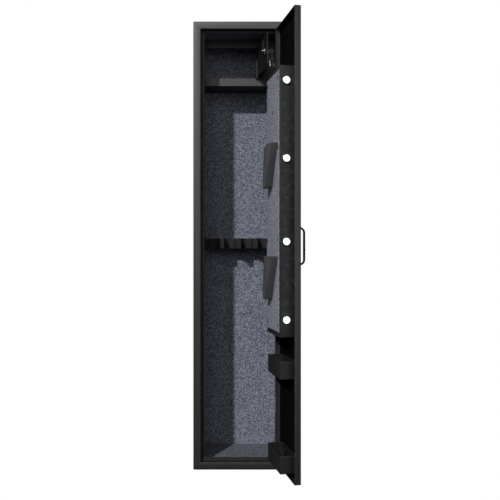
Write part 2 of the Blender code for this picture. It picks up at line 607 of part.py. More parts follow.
def build_inner_lock(inner, key):
    """A cam lock: flanged body, nut, turning plug and the cam on its end."""
    through = from_sheet(-10, 20)
    body = rod_between("inner_lock_body", CAM_X, CAM_Z, from_sheet(-2, 8), 9, CHROME, inner)
    join(body, rod_between("add_lock_flange", CAM_X, CAM_Z, from_sheet(-3.4, -1.3), 11.5, None, inner, sides=48))
    cut(body, rod_between("cut_lock_body", CAM_X, CAM_Z, through, 5.4, None, inner))
    nut = rod_between("inner_lock_nut", CAM_X, CAM_Z, from_sheet(1.3, 5), 12.5, CHROME, inner, sides=6)
    cut(nut, rod_between("cut_lock_nut", CAM_X, CAM_Z, through, 9.3, None, inner))

    rod_between("inner_lock_plug", CAM_X, CAM_Z, from_sheet(-3.6, 8.3), 5, CHROME, key)
    cam_depth = from_sheet(8.6, 10.6)
    cam = box("inner_lock_cam", (CAM_X - 7, CAM_X + 7), cam_depth, (CAM_Z, CAM_Z + 27), ZINC, key)
    tip = rod_between("add_cam_tip", CAM_X, CAM_Z + 27, cam_depth, 7, None, key)
    boss = rod_between("add_cam_boss", CAM_X, CAM_Z, from_sheet(8.6, 13), 7, None, key)
    join(cam, tip, boss)


def key_shape(name, bow_depth, bow_z, hole, blade_depth, blade_z, parent):
    """A flat key: a round bow with a hole for the ring, and a straight blade."""
    flat = (CAM_X - KEY_THICK / 2, CAM_X + KEY_THICK / 2)
    shape = rod(name, (CAM_X, bow_depth, bow_z), KEY_BOW_R, KEY_THICK, "X", CHROME, parent)
    join(shape, box(f"add_{name}", flat, blade_depth, blade_z, None, parent))
    cut(shape, rod(f"cut_{name}", hole, KEY_HOLE_R, 10, "X", None, parent))


def build_keys(key, ring):
    """The key in the lock, and a ring through its bow with the spare key hanging on it."""
    hole_z = CAM_Z - 5
    blade = (KEY_DEPTH + KEY_BOW_R - 2, from_sheet(-3.9))
    key_shape("inner_key", KEY_DEPTH, CAM_Z, (CAM_X, KEY_DEPTH, hole_z), blade, (CAM_Z - 3.5, CAM_Z + 3.5), key)

    bpy.ops.mesh.primitive_torus_add(
        major_radius=RING_R * MM, minor_radius=RING_WIRE_R * MM, major_segments=48, minor_segments=10
    )
    torus = bpy.context.active_object
    mesh = torus.data
    bpy.data.objects.remove(torus)
    mesh.transform(Matrix.Rotation(math.pi / 2, 4, "X"))
    mesh.shade_smooth()
    loop = add_object("key_ring", mesh, CHROME, ring)
    loop.location = at(CAM_X, KEY_DEPTH, hole_z - RING_R)

    low_hole = hole_z - 2 * RING_R
    bow_z = low_hole - 5
    spare_blade = (bow_z - KEY_BOW_R - SPARE_BLADE, bow_z - KEY_BOW_R + 2)
    spare_depth = (KEY_DEPTH - 3.5, KEY_DEPTH + 3.5)
    key_shape("spare_key", KEY_DEPTH, bow_z, (CAM_X, KEY_DEPTH, low_hole), spare_depth, spare_blade, ring)


def build():
    door = axis_empty("door_axis", PIVOT_X, PIVOT_DEPTH, 0)
    handle_axis = axis_empty("handle_axis", HANDLE_X, 0, HANDLE_Z, door)
    bolt_axis = axis_empty("bolt_axis", BOLT_X[0], BOLT_DEPTH, HANDLE_Z, door)
    plug_axis = axis_empty("lock_plug_axis", LOCK_X, 0, LOCK_Z, door)
    tongue_axis = axis_empty("lock_tongue_axis", LOCK_X, TONGUE_DEPTH[0], LOCK_Z, door)
    cover_axis = axis_empty("keyhole_cover_axis", LOCK_X, 0, COVER_PIVOT_Z, door)
    inner = axis_empty("inner_door_axis", INNER_PIVOT_X, INNER_PIVOT_DEPTH, 0)
    key_axis = axis_empty("inner_key_axis", CAM_X, KEY_DEPTH, CAM_Z, inner)
    ring_axis = axis_empty("key_ring_axis", CAM_X, KEY_DEPTH, CAM_Z - 5, key_axis)

    build_shell()
    build_frame()
    build_linings()
    build_shelf()
    build_barrel_rest()
    build_hinges(door)
    build_door(door)
    build_bolt_box(door)
    build_boltwork(bolt_axis)
    build_handle(door, handle_axis)
    build_main_lock(door, plug_axis, tongue_axis, cover_axis)
    build_holsters(door)
    build_trays(door)
    build_inner_door(inner)
    build_inner_lock(inner, key_axis)
    build_keys(key_axis, ring_axis)

    door.rotation_euler.z = math.radians(DOOR_OPEN)
    inner.rotation_euler.z = math.radians(INNER_OPEN)
    bpy.context.view_layer.update()


build()
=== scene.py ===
"""Looks of the tall gun safe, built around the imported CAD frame.

Pieces of a door are modelled with that door shut, where everything is square to the axes, and are then swung
open with the door's own hinge. All lengths are in metres, and MM turns millimetres into metres.
"""

import json
import math
import random

import bmesh
import bpy
from mathutils import Matrix, Vector, noise


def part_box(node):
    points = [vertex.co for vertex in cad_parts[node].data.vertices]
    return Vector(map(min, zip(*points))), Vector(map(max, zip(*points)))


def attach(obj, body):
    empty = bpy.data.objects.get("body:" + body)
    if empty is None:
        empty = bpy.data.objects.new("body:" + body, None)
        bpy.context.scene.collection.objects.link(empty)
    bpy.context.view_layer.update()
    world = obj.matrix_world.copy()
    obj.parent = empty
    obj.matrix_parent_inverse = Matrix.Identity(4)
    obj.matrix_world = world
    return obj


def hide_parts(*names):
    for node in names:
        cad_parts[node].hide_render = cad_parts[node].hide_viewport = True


MM = 0.001
TINY = 1e-7
WHOLE_TURN = 2 * math.pi

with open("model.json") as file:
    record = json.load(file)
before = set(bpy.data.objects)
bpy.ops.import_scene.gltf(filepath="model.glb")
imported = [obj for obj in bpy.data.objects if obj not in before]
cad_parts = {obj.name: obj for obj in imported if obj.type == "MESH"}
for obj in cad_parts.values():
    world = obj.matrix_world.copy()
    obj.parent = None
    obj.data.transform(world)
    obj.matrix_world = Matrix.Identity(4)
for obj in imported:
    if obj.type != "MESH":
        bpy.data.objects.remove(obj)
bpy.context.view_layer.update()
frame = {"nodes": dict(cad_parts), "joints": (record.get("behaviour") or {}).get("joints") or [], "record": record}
NODES = frame["nodes"]
JOINTS = {joint["name"]: joint for joint in frame["joints"]}
COUPLINGS = {pair["joint"]: pair["ratio"] for pair in frame["record"]["behaviour"]["couplings"]}


# ---------------------------------------------------------------- places

def swing_matrix(joint_name, degrees):
    """The turn about a joint's axis that carries a piece from the shut door to the door at rest."""
    joint = JOINTS[joint_name]
    pivot = Matrix.Translation(Vector(joint["pos_m"]))
    return pivot @ Matrix.Rotation(math.radians(degrees), 4, Vector(joint["axis"])) @ pivot.inverted()


DOOR_OPEN = -JOINTS["door_swing"]["range_deg"][0]
FIXED = Matrix.Identity(4)
DOOR = swing_matrix("door_swing", DOOR_OPEN)
INNER = swing_matrix("inner_door_swing", DOOR_OPEN * COUPLINGS["inner_door_swing"])


def shut_box(node, place=FIXED):
    """Lowest and highest corner of a CAD node with its door shut."""
    back = place.inverted()
    points = [back @ vertex.co for vertex in NODES[node].data.vertices]
    low = Vector([min(point[i] for point in points) for i in range(3)])
    high = Vector([max(point[i] for point in points) for i in range(3)])
    return low, high


def shut_point(joint_name, place):
    """A joint's pivot with its door shut."""
    return place.inverted() @ Vector(JOINTS[joint_name]["pos_m"])


# ---------------------------------------------------------------- materials

def new_material(name, colour, roughness, metallic=0.0):
    made = bpy.data.materials.new(name)
    made.use_nodes = True
    shader = made.node_tree.nodes["Principled BSDF"]
    shader.inputs["Base Color"].default_value = (*colour, 1.0)
    shader.inputs["Roughness"].default_value = roughness
    shader.inputs["Metallic"].default_value = metallic
    return made, made.node_tree, shader


def add_node(tree, kind, **inputs):
    node = tree.nodes.new(kind)
    for name, value in inputs.items():
        node.inputs[name].default_value = value
    return node


def noise_of(tree, scale, detail, rough=0.6, stretch=None):
    """Noise in object coordinates: scale counts features in a metre."""
    place = tree.nodes.new("ShaderNodeTexCoord")
    texture = add_node(tree, "ShaderNodeTexNoise", Scale=scale, Detail=detail, Roughness=rough)
    if stretch:
        mapping = add_node(tree, "ShaderNodeMapping", Scale=stretch)
        tree.links.new(place.outputs["Object"], mapping.inputs["Vector"])
        tree.links.new(mapping.outputs["Vector"], texture.inputs["Vector"])
    else:
        tree.links.new(place.outputs["Object"], texture.inputs["Vector"])
    return texture.outputs["Fac"]


def ramp(tree, source, stops):
    """A colour ramp through (position, colour) stops, where a colour may be one grey number."""
    node = tree.nodes.new("ShaderNodeValToRGB")
    elements = node.color_ramp.elements
    while len(elements) < len(stops):
        elements.new(0.5)
    for element, (position, colour) in zip(elements, stops):
        element.position = position
        rgb = (colour,) * 3 if isinstance(colour, float) else colour
        element.color = (*rgb, 1.0)
    tree.links.new(source, node.inputs["Fac"])
    return node.outputs["Color"]


def mix(tree, share, first, second, blend="MIX"):
    """Two colours mixed. share, first and second are sockets or plain values."""
    node = tree.nodes.new("ShaderNodeMix")
    node.data_type = "RGBA"
    node.blend_type = blend
    factor_input, first_input, second_input, colour_output = 0, 6, 7, 2
    for index, value in ((factor_input, share), (first_input, first), (second_input, second)):
        if isinstance(value, bpy.types.NodeSocket):
            tree.links.new(value, node.inputs[index])
        else:
            node.inputs[index].default_value = value if index == factor_input else (*value, 1.0)
    return node.outputs[colour_output]


def bump(tree, shader, height, distance, strength, normal=None):
    """Bump on the shader, on top of an earlier bump's normal if one is given."""
    node = add_node(tree, "ShaderNodeBump", Strength=strength, Distance=distance)
    tree.links.new(height, node.inputs["Height"])
    if normal is not None:
        tree.links.new(normal, node.inputs["Normal"])
    tree.links.new(node.outputs["Normal"], shader.inputs["Normal"])
    return node.outputs["Normal"]


def edge_wear(tree):
    """Bright on sharp outward edges, from the surface's own pointiness, broken up by noise."""
    geometry = tree.nodes.new("ShaderNodeNewGeometry")
    edges = ramp(tree, geometry.outputs["Pointiness"], [(0.53, 0.0), (0.60, 1.0)])
    patches = ramp(tree, noise_of(tree, 60, 6), [(0.5, 0.0), (0.66, 1.0)])
    return mix(tree, 1.0, edges, patches, "MULTIPLY")


def powder_coat(name, colour, roughness, gloss, relief):
    """Satin powder coat: an orange-peel skin as strong as relief, with slight wear on the edges."""
    made, tree, shader = new_material(name, colour, roughness)
    lighter = tuple(1.12 * c for c in colour)
    darker = tuple(0.9 * c for c in colour)
    clouds = ramp(tree, noise_of(tree, 9, 5), [(0.35, darker), (0.68, lighter)])
    worn = tuple(4.0 * c + 0.006 for c in colour)
    tree.links.new(mix(tree, edge_wear(tree), clouds, worn), shader.inputs["Base Color"])
    shader.inputs["Specular IOR Level"].default_value = gloss
    grain = ramp(tree, noise_of(tree, 700, 2), [(0.3, roughness - 0.06), (0.7, roughness + 0.07)])
    tree.links.new(grain, shader.inputs["Roughness"])
    peel = bump(tree, shader, noise_of(tree, 420, 2), 0.25 * MM, relief)
    bump(tree, shader, noise_of(tree, 1600, 2), 0.1 * MM, 1.2 * relief, peel)
    return made


def carpet_material(name, dark, middle, light):
    """Needle-felt carpet: mixed fibres in three tones, with tufts in clumps a few millimetres wide."""
    made, tree, shader = new_material(name, middle, 1.0)
    fibres = ramp(tree, noise_of(tree, 760, 3, 0.75), [(0.36, dark), (0.5, middle), (0.64, light)])
    clumps = ramp(tree, noise_of(tree, 290, 2, 0.6), [(0.40, dark), (0.5, middle), (0.60, light)])
    both = mix(tree, 0.62, fibres, clumps)
    flecks = ramp(tree, noise_of(tree, 380, 1, 0.5), [(0.66, 0.0), (0.72, 1.0)])
    pale = tuple(min(1.0, 1.35 * c) for c in light)
    speckled = mix(tree, flecks, both, pale)
    pits = ramp(tree, noise_of(tree, 300, 2, 0.6), [(0.31, 1.0), (0.38, 0.0)])
    tree.links.new(mix(tree, pits, speckled, tuple(0.35 * c for c in dark)), shader.inputs["Base Color"])
    shader.inputs["Specular IOR Level"].default_value = 0.05
    shader.inputs["Sheen Weight"].default_value = 0.03
    shader.inputs["Sheen Roughness"].default_value = 0.6
    tufts = bump(tree, shader, noise_of(tree, 290, 4, 0.7), 0.9 * MM, 0.8)
    bump(tree, shader, noise_of(tree, 700, 3, 0.7), 0.5 * MM, 0.8, tufts)
    return made


def foam_material():
    """Dark closed-cell foam with fine pores."""
    made, tree, shader = new_material("closed_cell_foam", (0.012, 0.012, 0.013), 0.8)
    shader.inputs["Specular IOR Level"].default_value = 0.25
    tone = ramp(tree, noise_of(tree, 300, 4), [(0.35, (0.009, 0.009, 0.01)), (0.7, (0.018, 0.018, 0.019))])
    tree.links.new(tone, shader.inputs["Base Color"])
    cells = add_node(tree, "ShaderNodeTexVoronoi", Scale=900)
    place = tree.nodes.new("ShaderNodeTexCoord")
    tree.links.new(place.outputs["Object"], cells.inputs["Vector"])
    bump(tree, shader, cells.outputs["Distance"], 0.3 * MM, 0.35)
    return made


def pouch_material():
    """Smooth dark moulded plastic with a fine spark-eroded grain."""
    made, tree, shader = new_material("moulded_pouch", (0.04, 0.04, 0.042), 0.6)
    tone = ramp(tree, noise_of(tree, 25, 4), [(0.3, (0.034, 0.034, 0.036)), (0.7, (0.05, 0.05, 0.052))])
    tree.links.new(tone, shader.inputs["Base Color"])
    bump(tree, shader, noise_of(tree, 1300, 3), 0.15 * MM, 0.4)
    return made


def metal(name, colour, roughness, scale=500, brushed=None, relief=0.25):
    """Bare or plated metal. brushed stretches its scratches along the axes with small numbers."""
    made, tree, shader = new_material(name, colour, roughness, 1.0)
    scratches = noise_of(tree, scale, 3, 0.6, brushed)
    spread = ramp(tree, scratches, [(0.3, max(0.02, roughness * 0.7)), (0.7, roughness * 1.5)])
    tree.links.new(spread, shader.inputs["Roughness"])
    tint = ramp(tree, noise_of(tree, 40, 3), [(0.3, tuple(0.93 * c for c in colour)), (0.7, colour)])
    tree.links.new(tint, shader.inputs["Base Color"])
    bump(tree, shader, scratches, 0.03 * MM, relief)
    return made


def plain_plastic(name, colour, roughness, grain):
    """Moulded plastic or rubber with an even grain."""
    made, tree, shader = new_material(name, colour, roughness)
    tone = ramp(tree, noise_of(tree, 80, 3), [(0.3, tuple(0.8 * c for c in colour)), (0.7, colour)])
    tree.links.new(tone, shader.inputs["Base Color"])
    bump(tree, shader, noise_of(tree, grain, 2), 0.1 * MM, 0.3)
    return made


COAT = powder_coat("powder_coat", (0.0095, 0.0095, 0.0097), 0.46, 0.5, 0.16)
# A darker copy of the coat for the parts inside the cabinet: painted shade.
COAT_INSIDE_SHADED = powder_coat("powder_coat_inside_painted_shade", (0.006, 0.006, 0.0062), 0.5, 0.5, 0.16)
# A darker, duller copy of the coat for the door stop's front faces: painted shade.
COAT_STOP_SHADED = powder_coat("powder_coat_stop_painted_shade", (0.006, 0.006, 0.0061), 0.58, 0.2, 0.16)
# A darker, duller copy of the coat for the bolt cover and the trays: painted shade.
COAT_COVER_SHADED = powder_coat("powder_coat_cover_painted_shade", (0.006, 0.006, 0.0061), 0.54, 0.31, 0.1)
# A black, matt copy of the coat with no gloss for the door's hardplate: painted shade in the door pan.
COAT_PLATE_SHADED = powder_coat("hardplate_painted_shade", (0.0045, 0.0045, 0.0046), 0.85, 0.0, 0.2)
CARPET = carpet_material("carpet", (0.027, 0.030, 0.044), (0.107, 0.116, 0.149), (0.31, 0.325, 0.38))
# A darker copy of the carpet for the floor lining: painted shade.
CARPET_FLOOR_SHADED = carpet_material("carpet_floor_painted_shade", (0.022, 0.025, 0.036), (0.08, 0.086, 0.108), (0.21, 0.22, 0.26))
CARPET_DOOR = carpet_material("carpet_door", (0.05, 0.055, 0.075), (0.155, 0.166, 0.21), (0.39, 0.405, 0.47))
FOAM = foam_material()
POUCH = pouch_material()
CHROME = metal("chrome", (0.83, 0.83, 0.84), 0.07)
BLACK_CHROME = metal("black_chrome", (0.03, 0.03, 0.032), 0.2)
BOLT_CHROME = metal("bolt_chrome", (0.9, 0.9, 0.905), 0.1, scale=200, relief=0.01)
ZINC = metal("zinc_plate", (0.6, 0.6, 0.61), 0.33, brushed=(1, 20, 1))
STEEL = metal("cut_steel", (0.5, 0.5, 0.51), 0.28, scale=700, brushed=(20, 1, 1))
DARK_ZINC = metal("dark_zinc_plate", (0.05, 0.05, 0.052), 0.55)
NICKEL = metal("nickel_plate", (0.85, 0.84, 0.82), 0.3)
NYLON = plain_plastic("nylon", (0.035, 0.035, 0.036), 0.45, 900)
RUBBER = plain_plastic("rubber", (0.015, 0.015, 0.015), 0.7, 700)


# ---------------------------------------------------------------- mesh helpers

def finish_piece(obj, body, finish, nodes=(), place=FIXED, sharp=35):
    """Gives a new piece its place, material, shading and body, and hides the CAD nodes that it stands for."""
    obj.data.transform(place)
    obj.data.materials.clear()
    obj.data.materials.append(finish)
    obj.data.shade_smooth()
    obj.data.set_sharp_from_angle(angle=math.radians(sharp))
    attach(obj, body)
    if nodes:
        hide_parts(*nodes)


def object_from(name, shape):
    bmesh.ops.recalc_face_normals(shape, faces=shape.faces)
    mesh = bpy.data.meshes.new(name)
    shape.to_mesh(mesh)
    shape.free()
    obj = bpy.data.objects.new(name, mesh)
    bpy.context.scene.collection.objects.link(obj)
    return obj


def skin_through(name, rings, closed=False):
    """A skin through rings of the same number of points: closed on itself, or capped at both ends."""
    shape = bmesh.new()
    loops = [[shape.verts.new(point) for point in ring] for ring in rings]
    pairs = list(zip(loops, loops[1:]))
    if closed:
        pairs.append((loops[-1], loops[0]))
    for first, second in pairs:
        for i in range(len(first)):
            j = (i + 1) % len(first)
            shape.faces.new((first[i], first[j], second[j], second[i]))
    if not closed:
        shape.faces.new(loops[0][::-1])
        shape.faces.new(loops[-1])
    return object_from(name, shape)


def in_mm(*pairs):
    """Points given as pairs of millimetres."""
    return [(a * MM, b * MM) for a, b in pairs]


def arc(centre, radius, start, end, steps=4):
    """Points of an arc in a plane, from one angle to another in degrees."""
    angles = [math.radians(start + (end - start) * i / steps) for i in range(steps + 1)]
    return [(centre[0] + radius * math.cos(a), centre[1] + radius * math.sin(a)) for a in angles]


def pan_rings(u, v, profile, corner, out):
    """Rings of a round-cornered pan: a profile point is (inset, height), and out(u, v, height) places it."""
    rings = []
    for inset, height in profile:
        radius = max(0.25 * MM, corner - inset)
        left, right = u[0] + inset + radius, u[1] - inset - radius
        low, high = v[0] + inset + radius, v[1] - inset - radius
        outline = []
        for quarter, centre in enumerate(((right, high), (left, high), (left, low), (right, low))):
            outline += arc(centre, radius, 90 * quarter, 90 * quarter + 90)
        rings.append([out(a, b, height) for a, b in outline])
    return rings


def rings_round(profile, origin, axis, sides):
    """Rings round an axis, one for each (distance along, radius) of the profile."""
    origin, axis = Vector(origin), Vector(axis).normalized()
    across = axis.orthogonal().normalized()
    other = axis.cross(across)
    turns = [WHOLE_TURN * i / sides for i in range(sides)]
    spokes = [across * math.cos(turn) + other * math.sin(turn) for turn in turns]
    return [[origin + axis * along + spoke * radius for spoke in spokes] for along, radius in profile]


def turned(name, profile, origin, axis, sides):
    """A turned solid, whose profile runs from one end of it to the other."""
    return skin_through(name, rings_round(profile, origin, axis, sides))


def bored(name, outside, bore, origin, axis, sides):
    """A turned ring: its outer profile one way and its bore the other way."""
    return skin_through(name, rings_round(outside + bore[::-1], origin, axis, sides), closed=True)


def upright(x, y, z, sign):
    """Places an outline that stands facing the Y axis, with its levels along sign times that axis."""
    return lambda a, b, level: Vector((x + a, y + sign * level, z + b))


def extruded(name, outline, low, high, to_space, round_edge, segments=3):
    """A flat outline between two levels, with its rim edges rounded. to_space(u, v, level) places it."""
    shape = bmesh.new()
    base = shape.faces.new([shape.verts.new(to_space(u, v, low)) for u, v in outline])
    lifted = bmesh.ops.extrude_face_region(shape, geom=[base])
    moved = [item for item in lifted["geom"] if isinstance(item, bmesh.types.BMVert)]
    lift = to_space(*outline[0], high) - to_space(*outline[0], low)
    bmesh.ops.translate(shape, vec=lift, verts=moved)
    across = lift.normalized()
    rims = [edge for edge in shape.edges if abs((edge.verts[0].co - edge.verts[1].co).dot(across)) < TINY]
    bmesh.ops.bevel(shape, geom=rims, offset=round_edge, segments=segments, profile=0.5, affect="EDGES")
    return object_from(name, shape)


def boolean(obj, tool, operation="DIFFERENCE"):
    """Applies one Boolean and removes its tool."""
    step = obj.modifiers.new("cut", "BOOLEAN")
    step.operation = operation
    step.object = tool
    step.solver = "EXACT"
    graph = bpy.context.evaluated_depsgraph_get()
    graph.update()
    mesh = bpy.data.meshes.new_from_object(obj.evaluated_get(graph))
    obj.modifiers.clear()
    old = obj.data
    obj.data = mesh
    bpy.data.meshes.remove(old)
    bpy.data.objects.remove(tool)


def drill(obj, start, axis, deep, radius, sides):
    boolean(obj, turned("tool", [(0, radius), (deep, radius)], start, axis, sides))


def cut_block(obj, low, high, round_edge=0.0):
    """Cuts away a box, with its edges rounded if round_edge isn't 0."""
    shape = bmesh.new()
    bmesh.ops.create_cube(shape, size=1.0)
    low, high = Vector(low), Vector(high)
    bmesh.ops.scale(shape, vec=high - low, verts=shape.verts)
    bmesh.ops.translate(shape, vec=(low + high) / 2, verts=shape.verts)
    if round_edge:
        bmesh.ops.bevel(shape, geom=shape.edges, offset=round_edge, segments=2, profile=0.5, affect="EDGES")
    boolean(obj, object_from("tool", shape))


def joined(name, objects):
    """One object from several, each keeping its own shell."""
    shape = bmesh.new()
    for obj in objects:
        shape.from_mesh(obj.data)
        bpy.data.objects.remove(obj)
    return object_from(name, shape)


def soften(width, finish, *nodes):
    """Keeps the shapes of these CAD nodes, rounds their sharp edges and gives them their finish."""
    for node in nodes:
        obj = NODES[node]
        obj.modifiers.new("weld", "WELD").merge_threshold = 0.01 * MM
        if width:
            rounding = obj.modifiers.new("rounding", "BEVEL")
            rounding.width = width
            rounding.segments = 2
            rounding.limit_method = "ANGLE"
            rounding.angle_limit = math.radians(40)
            rounding.use_clamp_overlap = True
        obj.modifiers.new("smooth", "WEIGHTED_NORMAL").keep_sharp = True
        obj.data.materials.clear()
        obj.data.materials.append(finish)
        for polygon in obj.data.polygons:
            polygon.use_smooth = True


# ---------------------------------------------------------------- cabinet

def build_shell():
    """The welded and coated body: one folded wrap with its flange, return and door stop, and a back sheet."""
    left_low, left_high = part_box("side_panel_left")
    bottom_low, bottom_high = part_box("bottom_panel")
    rail_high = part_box("frame_rail_bottom")[1]
    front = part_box("frame_stile_left")[0].y
    u = (left_low.x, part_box("side_panel_right")[1].x)
    v = (left_low.z, left_high.z)
    deep = left_high.y - front
    steel = bottom_high.z - bottom_low.z
    stop_front = rail_high.y - steel - front
    stop_width = 11 * MM
    flange = rail_high.z - stop_width
    bend_out, bend_in = 2.0 * MM, 0.4 * MM
    stop_bend = 2 * bend_in

    # From the back edge along the outside, round the flange to the stop, and back along the inside.
    profile = [(0.0, deep), (0.0, deep - 2 * MM), (0.0, deep * 0.66), (0.0, deep * 0.33)]
    profile += arc((bend_out, bend_out), bend_out, 180, 270)
    profile += arc((flange - bend_out, bend_out), bend_out, 270, 360)
    profile += [(flange, stop_front - bend_in)]
    profile += arc((flange + bend_in, stop_front - bend_in), bend_in, 180, 90, 2)
    stop_from = len(profile)
    profile += arc((flange + stop_width - stop_bend, stop_front + stop_bend), stop_bend, 270, 360, 2)
    profile += [(flange + stop_width, stop_front + steel)]
    stop_to = len(profile)
    profile += [(flange - steel, stop_front + steel), (flange - steel, steel), (steel, steel), (steel, deep)]

    def out(a, b, height):
        return Vector((a, front + height, b))

    # The hinge side has no stop, so its points are drawn back to the flange.
    rings = pan_rings(u, v, profile, 3.0 * MM, out)
    hinge_edge = u[1] - flange
    for index in range(stop_from, stop_to):
        limit = hinge_edge - 0.3 * MM * (index - stop_from + 1) / (stop_to - stop_from)
        hinge_side = u[1] - profile[index][0]
        for point in rings[index]:
            if point.x > 0 and abs(point.x - hinge_side) < 1 * MM:
                point.x = max(point.x, limit)
    wrap = skin_through("body_wrap", rings, closed=True)
    for number in (1, 2, 3):
        knuckle_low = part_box(f"hinge_knuckle_fixed_{number}")[0].z
        knuckle_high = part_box(f"hinge_knuckle_door_{number}")[1].z
        notch_low = (hinge_edge - 6 * MM, front - 5 * MM, knuckle_low - 3.5 * MM)
        notch_high = (u[1] - 6.5 * MM, front + 26 * MM, knuckle_high + 1.5 * MM)
        cut_block(wrap, notch_low, notch_high, 1.2 * MM)
    for side in ("left", "right"):
        low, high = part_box(f"anchor_plug_{side}")
        middle = (low + high) / 2
        drill(wrap, (middle.x, middle.y, -10 * MM), (0, 0, 1), 20 * MM, 7.1 * MM, 48)
    finish_piece(wrap, "cabinet", COAT, (
        "side_panel_left", "side_panel_right", "top_panel", "bottom_panel",
        "frame_stile_left", "frame_stile_right", "frame_rail_top", "frame_rail_bottom",
    ))
    # The stop's front faces take the darker, duller copy of the coat: painted shade on the door stop.
    wrap.data.materials.append(COAT_STOP_SHADED)
    for face in wrap.data.polygons:
        if face.normal.y < -0.5 and face.center.y > front + stop_front - 0.5 * MM:
            face.material_index = 1

    inset = steel + 0.25 * MM
    sheet_profile = [(0.0, deep - steel), (0.0, deep - 0.6 * MM), (0.6 * MM, deep)]
    sheet_u, sheet_v = (u[0] + inset, u[1] - inset), (v[0] + inset, v[1] - inset)
    sheet = skin_through("back_sheet", pan_rings(sheet_u, sheet_v, sheet_profile, 2 * MM, out))
    finish_piece(sheet, "cabinet", COAT, ("back_panel",))


def build_plugs():
    """Ribbed rubber plugs in the floor's anchor holes."""
    profile = in_mm(
        (0.6, 0.5), (0.0, 2.0), (0.0, 5.4), (0.5, 6.3), (1.2, 6.7), (1.8, 6.4), (2.4, 6.7), (3.1, 6.4),
        (3.5, 8.6), (4.0, 9.0), (5.0, 8.9), (5.5, 8.0),
    )
    for side in ("left", "right"):
        low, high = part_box(f"anchor_plug_{side}")
        foot = ((low.x + high.x) / 2, (low.y + high.y) / 2, low.z)
        plug = turned(f"floor_plug_{side}", profile, foot, (0, 0, 1), 48)
        finish_piece(plug, "cabinet", RUBBER, (f"anchor_plug_{side}",))


def tuft_height(u, v, seed):
    """Unevenness of the carpet's face: broad ripples, tufts and fine tufts, each by how many in a metre."""
    height = 0.0
    for number, (per_metre, size) in enumerate(((11, 0.35), (130, 0.35), (260, 0.22))):
        place = Vector((u * per_metre, v * per_metre, seed + (0, 7, 13)[number]))
        height += size * MM * noise.noise(place)
    return height


def carpet_board(name, low, high, facing, seed, edge=1.6 * MM):
    """A board wrapped in carpet. facing is (axis index, sign) of its carpeted face, and edge its rounding."""
    axis, sign = facing
    across = [i for i in range(3) if i != axis]
    size = [high[i] - low[i] for i in across]
    cell, sink = 4.0 * MM, 0.5 * MM
    shape = bmesh.new()

    def lines(length):
        count = max(4, round(length / cell))
        inner = [length * i / count for i in range(1, count)]
        rounding = [0.0, edge * 0.25, edge * 0.6]
        return rounding + [x for x in inner if edge < x < length - edge] + [length - x for x in rounding[::-1]]

    us, vs = lines(size[0]), lines(size[1])
    back_level, face_level = (low[axis], high[axis]) if sign > 0 else (high[axis], low[axis])

    def drop(distance):
        """How far a round edge has fallen at this distance from the rim."""
        if distance >= edge:
            return 0.0
        return edge - math.sqrt(max(0.0, edge * edge - (edge - distance) ** 2))

    def spot(u, v, level):
        point = [0.0, 0.0, 0.0]
        point[across[0]], point[across[1]], point[axis] = low[across[0]] + u, low[across[1]] + v, level
        return point

    grid = []
    for u in us:
        column = []
        for v in vs:
            from_u, from_v = min(u, size[0] - u), min(v, size[1] - v)
            fall = max(drop(from_u), drop(from_v))
            uneven = tuft_height(u, v, seed) * min(1.0, min(from_u, from_v) / (3 * edge)) - sink
            column.append(shape.verts.new(spot(u, v, face_level - sign * fall + sign * uneven)))
        grid.append(column)
    last_u, last_v = len(us) - 1, len(vs) - 1
    for i in range(last_u):
        for j in range(last_v):
            shape.faces.new((grid[i][j], grid[i + 1][j], grid[i + 1][j + 1], grid[i][j + 1]))
    border = [(i, 0) for i in range(last_u)] + [(last_u, j) for j in range(last_v)]
    border += [(i, last_v) for i in range(last_u, 0, -1)] + [(0, j) for j in range(last_v, 0, -1)]
    front = [grid[i][j] for i, j in border]
    behind = [shape.verts.new(spot(us[i], vs[j], back_level)) for i, j in border]
    for k in range(len(border)):
        following = (k + 1) % len(border)
        shape.faces.new((front[k], front[following], behind[following], behind[k]))
    shape.faces.new(behind)
    return object_from(name, shape)


def build_linings():
    facings = {
        "lining_back": (1, -1), "lining_left": (0, 1), "lining_right": (0, -1),
        "lining_ceiling": (2, -1), "lining_floor": (2, 1), "shelf_board": (2, 1),
    }
    for seed, (node, facing) in enumerate(facings.items()):
        board = carpet_board(node + "_carpet", *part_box(node), facing, 10.0 * seed)
        # The floor lining takes the darker copy of the carpet: painted shade.
        finish = CARPET_FLOOR_SHADED if node == "lining_floor" else CARPET
        finish_piece(board, "cabinet", finish, (node,), sharp=60)


def build_barrel_rest():
    """The foam barrel rest: one block with four round-ended notches and rounded edges."""
    low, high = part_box("barrel_rest")
    notches = [opening for opening in frame["record"]["physics"]["openings"]
               if opening["name"].startswith("barrel_notch")]
    centres = sorted(sum(corner[0] for corner in notch["box_m"]) / 2 for notch in notches)
    radius, deep, lip = 21 * MM, 41 * MM, 3 * MM
    front = low.y
    outline = [(low.x, front), (low.x, high.y), (high.x, high.y), (high.x, front)]
    for x in reversed(centres):
        right, left = x + radius, x - radius
        outline += [(right + lip, front), (right + lip * 0.3, front + lip * 0.3), (right, front + lip)]
        outline += arc((x, front + deep - radius), radius, 0, 180, 20)
        outline += [(left, front + lip), (left - lip * 0.3, front + lip * 0.3), (left - lip, front)]
    rest = extruded("barrel_rest_foam", outline, low.z, high.z, lambda *point: Vector(point), 1.8 * MM)
    finish_piece(rest, "cabinet", FOAM, ("barrel_rest",))


